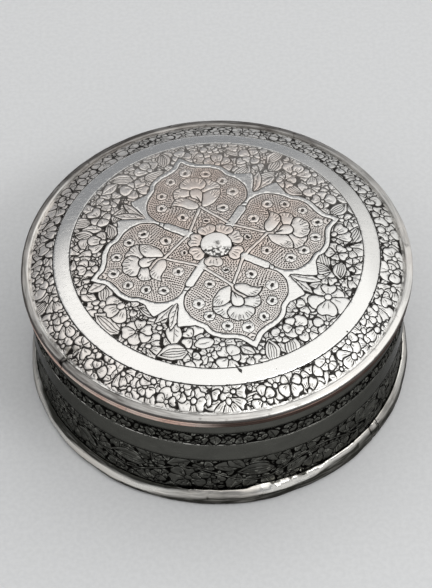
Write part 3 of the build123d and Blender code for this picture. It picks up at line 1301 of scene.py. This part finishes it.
def make_foot():
    """Half-round foot bent round the body, wavy along its lip, with solder run into its groove in places."""
    bpy.ops.object.select_all(action="DESELECT")
    corners = len(foot_section)
    bpy.ops.mesh.primitive_circle_add(vertices=corners, radius=1 * mm, fill_type="NGON", location=(0, 0, 0))
    foot = bpy.context.object
    start = math.radians(foot_joint_angle + 0.18)
    move_to(foot, np.array([(r * math.cos(start), r * math.sin(start), z) for r, z in foot_section]))

    def spin():
        bpy.ops.mesh.select_all(action="SELECT")
        bpy.ops.mesh.spin(steps=960, angle=math.radians(359.64), center=(0, 0, 0), axis=(0, 0, 1))
        bpy.ops.mesh.select_all(action="SELECT")
        bpy.ops.mesh.remove_doubles(threshold=0.00001)
        face_outwards()

    edit(foot, spin)
    settle("body_foot")
    places = places_of(foot)
    reach = np.hypot(places[:, 0], places[:, 1])
    level = places[:, 2].copy()
    turn = np.degrees(np.arctan2(places[:, 1], places[:, 0])) % 360
    around = np.column_stack([places[:, :2] / reach[:, None] * 44, np.zeros(len(places))])
    high = smooth((level - 1.2) / 3.0)
    outward = (reach - foot_inner_radius) / foot_width
    wave = wobble(around, 13.0, 0.30, 5.0) + wobble(around, 4.5, 0.16, 9.0)
    lip = wobble(around, 9.0, 0.55, 15.0) + wobble(around, 2.6, 0.16, 19.0)
    # solder fills the groove in places
    filled = span(turn, 190, 6, 258, 2) + span(turn, 277, 4, 301, 5)
    filled += 0.8 * span(turn, 20, 5, 75, 5) + 0.9 * span(turn, 128, 5, 160, 6)
    groove = (reach < 44.1) & (level > 4.1)
    places[:, 2] += np.where(groove, 0.75 * filled * (44.2 - reach) / 0.45, 0)
    # lower round the left front, opened at the front, and notched at the joint
    opened = span(turn, 256, 4, 280, 4)
    beyond = turn_from(turn, notch_angle)
    dip = np.exp(-np.abs(beyond) / 1.3) * (beyond < 0)
    step = np.exp(-np.maximum(beyond, 0) / 7.0) * (beyond > 0)
    gash = hump(beyond, 0.5)
    places[:, 2] *= 1 - 0.17 * span(turn, 186, 14, 266, 16)
    places[:, 2] += high * (np.minimum(lip, 0.12) - 0.75 * dip - 0.2 * gash + 0.22 * step - 0.10 * opened)
    out = reach + outward * (wave - 0.55 * dip * high - 0.25 * gash + 0.30 * step * high - 0.10)
    out += 0.16 * opened * high
    # hammered to a broad bevel right of the front
    bevel = span(turn, 272, 6, 303, 6) * (reach > 44.1)
    out += 0.5 * bevel * smooth((level - 2.4) / 1.2) * (1 - smooth((level - 4.3) / 0.9))
    places[:, 2] -= 0.2 * bevel * smooth((level - 3.6) / 0.6) * (1 - smooth((level - 4.5) / 0.5))
    # beads of solder along the lip, most of them right and left of the front
    dice = random.Random(5)
    for _ in range(460):
        turns = (dice.uniform(284, 303), dice.uniform(284, 303), dice.uniform(243, 262), dice.uniform(0, 360))
        a = math.radians(dice.choice(turns))
        size = dice.uniform(0.22, 0.6)
        spot = np.array([44.15 * math.cos(a), 44.15 * math.sin(a), dice.uniform(4.5, 5.1)])
        spot[:2] += np.array([math.cos(a), math.sin(a)]) * dice.uniform(-0.25, 0.35)
        lump = 0.5 * size * hump(np.linalg.norm(places - spot, axis=1), 0.6 * size)
        out += 0.6 * lump
        places[:, 2] += 0.7 * lump * (level > 3.6)
    places[:, 2] = np.clip(places[:, 2], 0.0, 5.42)
    places[:, :2] *= (np.minimum(out, 45.43) / reach)[:, None]
    # painted light with some wear: bright along a ridge where the light falls, which runs low round the left
    # front and climbs to the lip at the front; dull below and above it, partly tarnish and partly painted shade
    angles = (0, 90, 178, 195, 203, 210, 225, 240, 256, 270, 279, 284, 298, 305, 312, 322, 330, 345)
    ridges = (4.6, 4.7, 3.6, 3.5, 2.5, 1.9, 2.5, 3.0, 3.6, 4.2, 4.3, 4.4, 4.8, 5.2, 5.3, 5.2, 4.0, 4.2)
    shares = (0.9, 0.7, 0.7, 0.7, 0.9, 1.1, 1.0, 1.0, 0.55, 0.3, 0.5, 1.05, 1.05, 0.9, 0.8, 0.5, 0.25, 0.8)
    ridge = np.interp(turn, angles, ridges, period=360) + wobble(around, 6.0, 0.4, 33.0)
    share = np.interp(turn, angles, shares, period=360)
    soft = span(turn, 160, 20, 218, 8)
    below = smooth((level - ridge + 1.3) / 0.7)
    above = smooth((ridge + 1.5 + 0.9 * soft - level) / (0.8 + 1.4 * soft))
    # dark in the groove where no solder fills it, partly patina and partly painted shade, and painted shade in
    # the notch's gap
    inside = smooth((44.02 - reach) / 0.1) * (level > 4.0)
    return finish_shape(
        foot,
        places,
        55,
        worn=0.02 + 1.28 * below * above * share,
        hollow=inside * (1 - 0.85 * np.clip(filled, 0, 1)) + 0.35 * gash * (level > 2.6),
        along=(turn - foot_joint_angle) % 360 * math.pi / 180 * 44.5,
        across=level,
    )


def make_drop(name, reach, height, angle, size):
    """Drop of solder that closes a joint."""
    a = math.radians(angle)
    bpy.ops.object.select_all(action="DESELECT")
    bpy.ops.mesh.primitive_ico_sphere_add(
        subdivisions=4,
        radius=1 * mm,
        location=(reach * math.cos(a) * mm, reach * math.sin(a) * mm, height * mm),
        rotation=(0, 0, a),
        scale=size,
    )
    drop = settle(name)
    places = places_of(drop)
    middle = places.mean(axis=0)
    places = middle + (places - middle) * (1 + wobble(places, 0.5, 0.25, 3.0))[:, None]
    return finish_shape(drop, places, 180, worn=0.1)


# Finishes, whose shader maths is written as expressions on sockets
class Number:
    """A value in a finish, which Python's own operators combine."""

    def __init__(self, finish, socket):
        self.finish, self.socket = finish, socket

    def maths(self, operation, *values, clamp=False):
        settings = {"operation": operation, "use_clamp": clamp}
        return self.finish.add("ShaderNodeMath", settings, dict(enumerate(values)))

    def __add__(self, other):
        return self.maths("ADD", self, other)

    def __sub__(self, other):
        return self.maths("SUBTRACT", self, other)

    def __mul__(self, other):
        return self.maths("MULTIPLY", self, other)

    def __rsub__(self, other):
        return self.maths("SUBTRACT", other, self)

    __radd__ = __add__
    __rmul__ = __mul__

    def held(self):
        """Kept between 0 and 1."""
        return self.maths("ADD", self, 0.0, clamp=True)

    def between(self, low, high):
        """Rises smoothly from 0 at low to 1 at high."""
        settings = {"interpolation_type": "SMOOTHSTEP"}
        return self.finish.add("ShaderNodeMapRange", settings, {0: self, 1: low, 2: high})


class Finish:
    """Builds the nodes of one material or of the world."""

    def __init__(self, tree):
        self.nodes, self.links = tree.nodes, tree.links
        self.nodes.clear()

    def add(self, kind, settings=None, values=None, out=0):
        """Adds a node with its settings and its sockets' values or links, and gives one of its results."""
        node = self.nodes.new(kind)
        for key, value in (settings or {}).items():
            setattr(node, key, value)
        for key, value in (values or {}).items():
            if isinstance(value, Number):
                self.links.new(value.socket, node.inputs[key])
            else:
                node.inputs[key].default_value = value
        return Number(self, node.outputs[out]) if node.outputs else node

    def mix(self, share, first, second, blend="MIX"):
        settings = {"data_type": "RGBA", "blend_type": blend}
        return self.add("ShaderNodeMix", settings, {0: share, 6: first, 7: second}, 2)

    def fact(self, name):
        """Value kept at each point of the piece."""
        return self.add("ShaderNodeAttribute", {"attribute_name": name}, out="Fac")

    def coordinates(self, kind="Object"):
        return self.add("ShaderNodeTexCoord", out=kind)

    def compare(self, operation, place, value):
        return self.add("ShaderNodeVectorMath", {"operation": operation}, {0: place, 1: value}, "Value")

    def direction(self, angle, reach):
        """Share of the way towards an angle round the axis: 1 at that side, -1 at the other."""
        side = (math.cos(math.radians(angle)) / reach, math.sin(math.radians(angle)) / reach, 0)
        return self.compare("DOT_PRODUCT", self.coordinates(), side)

    def away(self, point):
        """Distance from a point, in metres."""
        return self.compare("DISTANCE", self.coordinates(), point)

    def facing(self, x, y, z):
        """How nearly a part of the sky lies in this direction."""
        return self.compare("DOT_PRODUCT", self.coordinates("Generated"), Vector((x, y, z)).normalized())

    def place(self, stretch=(1, 1, 1), turn=0.0):
        """Object coordinates, in metres, stretched and turned."""
        values = {"Vector": self.coordinates(), "Rotation": (0, 0, turn), "Scale": stretch}
        return self.add("ShaderNodeMapping", {}, values)

    def mottle(self, scale, detail=4.0, place=None, rough=0.5):
        """Cloudy value round 0.5."""
        values = {"Vector": place or self.place(), "Scale": scale, "Detail": detail, "Roughness": rough}
        return self.add("ShaderNodeTexNoise", {}, values)

    def bump(self, height, depth):
        return self.add("ShaderNodeBump", {}, {"Height": height, "Distance": depth, "Strength": 1.0})

    def scratches(self, seed):
        """Fine scratches of handling, in three directions."""
        total = 0.0
        for k, turn in enumerate((0.4, 1.5, 2.6)):
            place = self.place((1.0, 26.0, 1.0), turn + seed)
            total = self.mottle(260.0 + 70 * k, 2.0, place, 0.6).between(0.62, 0.72) + total
        return total.held()


def new_material(name):
    material = bpy.data.materials.new(name)
    material.use_nodes = True
    return material, Finish(material.node_tree)


def metal(f, colour, roughness, normal=None, metallic=1.0, glance=1.0):
    """One surface of metal. Glance is how bright it turns where it is seen edge on."""
    values = {"Base Color": colour, "Roughness": roughness, "Metallic": metallic}
    values["Specular Tint"] = grey(glance)
    if normal is not None:
        values["Normal"] = normal
    surface = f.add("ShaderNodeBsdfPrincipled", {}, values)
    f.add("ShaderNodeOutputMaterial", {}, {"Surface": surface})


def rgb(r, g, b):
    return (r, g, b, 1.0)


def grey(level):
    return rgb(level, level, level)


def tinted(colour, *shares):
    """A colour with its red, green and blue each scaled."""
    return rgb(*(value * share for value, share in zip(colour, shares)))


def chased_silver(name, bright, grime_share, pink_share, glance, patches_and_glints):
    """Silver with soot rubbed into every cut and the ground, worn bright on what stands up.

    The last value is 1 for the handled sides, which have dark patches and painted highlights as glints on their
    burrs, and 0 for the lid.
    """
    material, f = new_material(name)
    cut, ground, trough, tone, soot, eye, edge, plain, lobe_ground = (
        f.fact(fact) for fact in ("cut", "ground", "trough", "tone", "soot", "eye", "edge", "plain", "lobe")
    )
    cloud = f.mottle(55.0, 5.0)
    fine = f.mottle(900.0, 4.0, rough=0.65)
    grain = f.mottle(2200.0, 3.0, rough=0.7)
    pits = f.mottle(2600.0, 2.0).between(0.66, 0.76)
    # the silvering is worn pink round the middle, least at the front, and is a little warmer at the left
    rosy = 1 - f.away((0.002, 0.013, 0.037)).between(0.010, 0.032)
    mellow = f.direction(185, 0.0437).between(0.0, 0.8) * 0.42
    blush = rosy * (0.30 + 0.75 * f.mottle(150.0, 4.0).between(0.3, 0.7))
    warm = (blush + mellow + 0.30 * lobe_ground) * (1 - plain * 0.8) * pink_share
    silver = f.mix(warm.held(), rgb(*bright), tinted(bright, 0.97, 0.83, 0.76))
    shade = (0.78 + tone * 0.22) * (0.93 + cloud * 0.14)
    silver = f.mix(1.0, silver, f.add("ShaderNodeCombineColor", {}, {0: shade, 1: shade, 2: shade}), "MULTIPLY")
    smudge = grain.between(0.50, 0.72) * (0.25 + 0.75 * fine.between(0.42, 0.60))
    smudge = smudge * (1 - (tone - 0.8).between(0.18, 0.2))
    # the grime round the cuts is made stronger on the rim of the lid than in its middle, at the front and along
    # the back
    inner = 1 - f.away(plate_middle).between(0.0350, 0.0375)
    front = f.direction(280, 0.0437).between(0.72, 0.95) * 1.7
    kept = front + f.direction(70, 0.0437).between(-0.1, 0.6) * (1 - inner) * 0.9
    grime = (soot * (0.15 + 0.5 * fine) + smudge * 0.5) * (1 - plain * 0.75)
    grime = grime * (1 + kept * (1 - patches_and_glints)) * grime_share
    silver = f.mix(grime.held(), silver, tinted(bright, 0.30, 0.28, 0.25))
    silver = f.mix(pits * (0.4 - 0.3 * plain), silver, rgb(0.10, 0.09, 0.085))
    # flux and soot left round the joint of the bead
    burnt = 1 - f.away((-0.0332, -0.0262, 0.0331)).between(0.0010, 0.0042)
    burnt = burnt * f.mottle(700.0, 4.0).between(0.40, 0.58)
    silver = f.mix(burnt * 0.8, silver, tinted(bright, 0.13, 0.12, 0.095))
    if patches_and_glints:
        # on the sides: dark patches of dirt, bright rubs of wear, and painted highlights as glints on the burrs
        # beside the cuts
        patch = f.mottle(330.0, 5.0, rough=0.65).between(0.40, 0.66)
        rubs = f.mottle(300.0, 3.0, f.place((1, 1, 14)), 0.6).between(0.62, 0.74)
        painted_burr_glints = soot.between(0.55, 0.95) * f.mottle(700.0, 3.0).between(0.50, 0.62)
        for share, level in (
            (patch * (0.62 - 0.42 * plain), 0.42),
            (rubs * (0.10 + 0.35 * plain), 2.4),
            (painted_burr_glints * (0.7 - 0.6 * plain), 3.0),
        ):
            silver = f.mix(share, silver, tinted(bright, level, level, level))
    # painted highlight along the lid hoop's lower edge, broken by noise
    silver = f.mix((edge * f.mottle(260.0, 3.0).between(0.30, 0.52)).held(), silver, rgb(0.78, 0.76, 0.72))
    # the lid's plain band is duller at the right
    dull = plain * f.direction(15, 0.0355).between(0.80, 0.97) * 0.2 * (1 - patches_and_glints)
    silver = f.mix(dull, silver, grey(0.05))
    # soot in the dashes, the cuts and the ground
    hatching = trough.between(0.18, 0.46) * (0.82 + 0.2 * fine)
    line = cut.between(0.02, 0.28) * (0.88 + 0.12 * fine)
    ground_dark = ground.between(0.2, 0.8) * (0.80 + 0.35 * fine)
    # the flowers run into the bead, with little soot between
    brim = f.away(plate_middle).between(0.04255, 0.04280)
    brim = brim * (0.30 + 0.65 * f.mottle(420.0, 3.0).between(0.38, 0.50))
    worked = 1 - (1 - line) * (1 - ground_dark.held()) * (1 - hatching.held())
    worked = worked * (1 - brim * (1 - patches_and_glints))
    # painted reflections: the eye's dome is painted with dark marks at its front and in its middle, where it
    # mirrors dark things
    low = 1 - f.direction(90, 0.001).between(-1.7, -0.2)
    heart = (1 - f.away((0.0002, 0.0002, 0.0394)).between(0.0004, 0.0011)) * 0.8
    painted_eye_reflections = low * f.mottle(1700.0, 3.0).between(0.44, 0.53) * 0.95
    painted_eye_reflections = eye * (painted_eye_reflections + heart * f.mottle(1500.0, 2.0).between(0.3, 0.6)).held()
    # the cuts on the far side of the lid are made lighter
    lighter_cuts_at_back = 1 - f.direction(90, 0.036).between(0.05, 0.8) * inner * 0.22 * (1 - patches_and_glints)
    dark = 1 - (1 - worked * lighter_cuts_at_back) * (1 - painted_eye_reflections)
    colour = f.mix(dark.held(), silver, tinted(bright, 0.0172, 0.0147, 0.0133))
    rub = f.scratches(0.3)
    roughness = 0.21 + 0.12 * cloud + 0.08 * fine + 0.06 * soot + 0.28 * dark + 0.06 * rub - 0.10 * plain
    height = fine * 0.5 + rub * -0.5 + pits * -1.0
    # the eye is made nearly non-metallic, so its painted reflections and bright colour show as they are
    metal(f, colour, roughness.held(), f.bump(height, 0.000012), 1 - eye * 0.85, glance)
    return material


def plain_silver(name, bright, dull, warm_share, worn=None, glance=1.0, rough=0.42):
    """Smooth worked silver, bright where its worn value is high and dull in the rest, with streaks along a bent
    strip. On the bead and the foot that value is partly wear and partly painted light and shade.
    """
    material, f = new_material(name)
    bent = worn is None
    if bent:
        worn = f.fact("worn")
        strip_place = f.add("ShaderNodeCombineXYZ", {}, {0: f.fact("along") * 0.16, 1: f.fact("across") * 1.5})
        streak = f.mottle(1.0, 4.0, strip_place, 0.6)
    else:
        streak = f.mottle(160.0, 4.0)
    cloud = f.mottle(80.0, 5.0)
    fine = f.mottle(1100.0, 4.0, rough=0.6)
    rub = f.scratches(1.1)
    spots = f.mottle(420.0, 3.0).between(0.62, 0.74)
    share = ((streak - 0.5) * 1.1 + worn + (cloud - 0.5) * 0.5 - spots * 0.3).held()
    silver = f.mix(cloud.between(0.40, 0.70) * warm_share, rgb(*bright), tinted(bright, 0.97, 0.84, 0.76))
    colour = f.mix(share, rgb(*dull), silver)
    if bent:
        # stains and patina, with painted shade under the bead and in the foot's notch
        colour = f.mix(f.fact("hollow").between(0.1, 0.8), colour, rgb(0.014, 0.013, 0.012))
    roughness = (rough + 0.14 * cloud - 0.10 * share + 0.08 * rub).held()
    height = fine * 0.5 + rub * -0.4 + streak * 0.8
    metal(f, colour, roughness, f.bump(height, 0.000014), 1.0, glance)
    return material


def worn_copper(name):
    """Copper wire that shows through its worn silvering, with painted light: bright at its left front where the
    light falls on it, and painted shade, dark, elsewhere.
    """
    material, f = new_material(name)
    cloud = f.mottle(140.0, 4.0)
    fine = f.mottle(1200.0, 3.0)
    lit = f.direction(226, 0.0442).between(0.70, 0.86)
    bright = f.mix(cloud.between(0.35, 0.68), rgb(0.78, 0.52, 0.43), rgb(0.88, 0.74, 0.66))
    colour = f.mix((lit * 0.9 + 0.1 * cloud).held(), rgb(0.045, 0.031, 0.026), bright)
    colour = f.mix(fine.between(0.55, 0.8) * 0.5, colour, rgb(0.10, 0.06, 0.05))
    metal(f, colour, (0.24 + 0.2 * cloud).held(), f.bump(fine, 0.00001), 1.0, 0.4)
    return material


def dress(piece, material):
    """Gives a piece its one material."""
    piece.data.materials.clear()
    piece.data.materials.append(material)


plate_middle = (0.0, 0.0, 0.035)
lid_silver = chased_silver("lid_silver", (0.97, 0.96, 0.94), 0.36, 0.85, 1.0, 0)
# painted shade: the hoops' silver is a dark copy of the lid's, partly tarnish and partly shade standing in for
# the dark reflections along the sides
tarnished_and_shaded_side_silver = chased_silver("tarnished_and_shaded_side_silver", (0.112, 0.112, 0.101), 0.5, 0.0, 0.45, 1)
# the bead's dull colour is partly tarnish and partly painted shade
bead_silver = plain_silver("bead_silver", (0.95, 0.94, 0.915), (0.13, 0.118, 0.11), 0.22, glance=0.6)
# the foot's dull colour is partly tarnish and partly painted shade
foot_tarnish_and_shade = (0.052, 0.051, 0.044)
foot_silver = plain_silver("foot_silver", (0.97, 0.95, 0.90), foot_tarnish_and_shade, 0.25, glance=0.45, rough=0.30)
inside_silver = plain_silver("inside_silver", (0.62, 0.60, 0.57), (0.25, 0.24, 0.22), 0.2, 0.6)
wire_copper = worn_copper("wire_copper")

bead_drop = ("lid_joint_solder", 43.75, 32.65, bead_joint_angle, (0.62, 0.42, 0.5))
foot_drop = ("foot_joint_solder", 44.32, 2.9, foot_joint_angle, (0.72, 0.75, 1.9))
for piece, body, material, slot, replaced in (
    (make_lid_centre(), "lid", lid_silver, "chased_silver", "lid_top_plate"),
    (make_lid_border(), "lid", lid_silver, "chased_silver", "lid_top_plate"),
    (make_lid_hoop(), "lid", tarnished_and_shaded_side_silver, "chased_silver_side", "lid_skirt"),
    (make_bead(), "lid", bead_silver, "plain_silver", "lid_rim_bead"),
    (make_foot(), "box", foot_silver, "plain_silver", "foot_ring"),
    (make_body_hoop(), "box", tarnished_and_shaded_side_silver, "chased_silver_side", "body_wall"),
    (make_drop(*bead_drop), "lid", bead_silver, "plain_silver", None),
    (make_drop(*foot_drop), "box", foot_silver, "plain_silver", None),
):
    dress(piece, material)
    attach(piece, body)
    if replaced:
        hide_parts(replaced)

dress(nodes["body_collar"], inside_silver)
dress(nodes["base_plate"], inside_silver)
dress(nodes["lid_rim_wire"], wire_copper)


def link(thing):
    bpy.context.scene.collection.objects.link(thing)


# Camera at the photograph's angle
look_at = Vector((-0.36, -9.05, 32.15)) * mm
camera_distance = 450 * mm
elevation, roll = math.radians(50.966), math.radians(-1.657)
back = Vector((0, -math.cos(elevation), math.sin(elevation)))
right = Vector((1, 0, 0))
up = back.cross(right)
right, up = right * math.cos(roll) + up * math.sin(roll), up * math.cos(roll) - right * math.sin(roll)
camera_data = bpy.data.cameras.new("camera")
camera_data.lens, camera_data.sensor_width = 121.34, 36
camera_data.clip_start, camera_data.clip_end = 0.01, 50
camera = bpy.data.objects.new("camera", camera_data)
link(camera)
turn = Matrix((right, up, back)).transposed().to_4x4()
camera.matrix_world = Matrix.Translation(look_at + back * camera_distance) @ turn
bpy.context.scene.camera = camera

# Pale floor
bpy.ops.object.select_all(action="DESELECT")
bpy.ops.mesh.primitive_plane_add(size=24, location=(0, 0, 0))
floor = bpy.context.object
floor.name = "floor"
floor_material, f = new_material("pale_floor")
tooth = f.mottle(900.0, 3.0)
floor_colour = f.mix(tooth.between(0.3, 0.7), rgb(0.66, 0.665, 0.675), rgb(0.70, 0.705, 0.715))
metal(f, floor_colour, 0.85, metallic=0.0)
dress(floor, floor_material)

# Soft studio light: bright overhead and at the right, falling off towards the horizon and behind the box
world = bpy.data.worlds.new("studio")
bpy.context.scene.world = world
world.use_nodes = True
f = Finish(world.node_tree)
overhead = f.facing(0.10, 0.0, 1.0).between(0.36, 0.68)
behind_box = f.facing(-0.05, 0.95, 0.288).between(0.834, 0.874)
at_right = f.facing(0.80, 0.42, 0.42).between(0.62, 0.94)
lit = (overhead * (1 - behind_box) + at_right * 0.65).held()
sky = f.mix(lit, rgb(0.265, 0.275, 0.29), rgb(1.04, 1.04, 1.025))
background = f.add("ShaderNodeBackground", {}, {"Color": sky, "Strength": 1.0})
f.add("ShaderNodeOutputWorld", {}, {"Surface": background})

window = bpy.data.lights.new("window", "AREA")
window.shape, window.size, window.size_y = "RECTANGLE", 0.22, 0.16
window.energy = 0.95
key = bpy.data.objects.new("window", window)
link(key)
key.location = (0.36, -0.30, 0.55)
key.rotation_mode = "QUATERNION"
key.rotation_quaternion = (key.location - Vector((0, 0, 0.02))).to_track_quat("Z", "Y")

bpy.context.scene.view_settings.view_transform = "Standard"
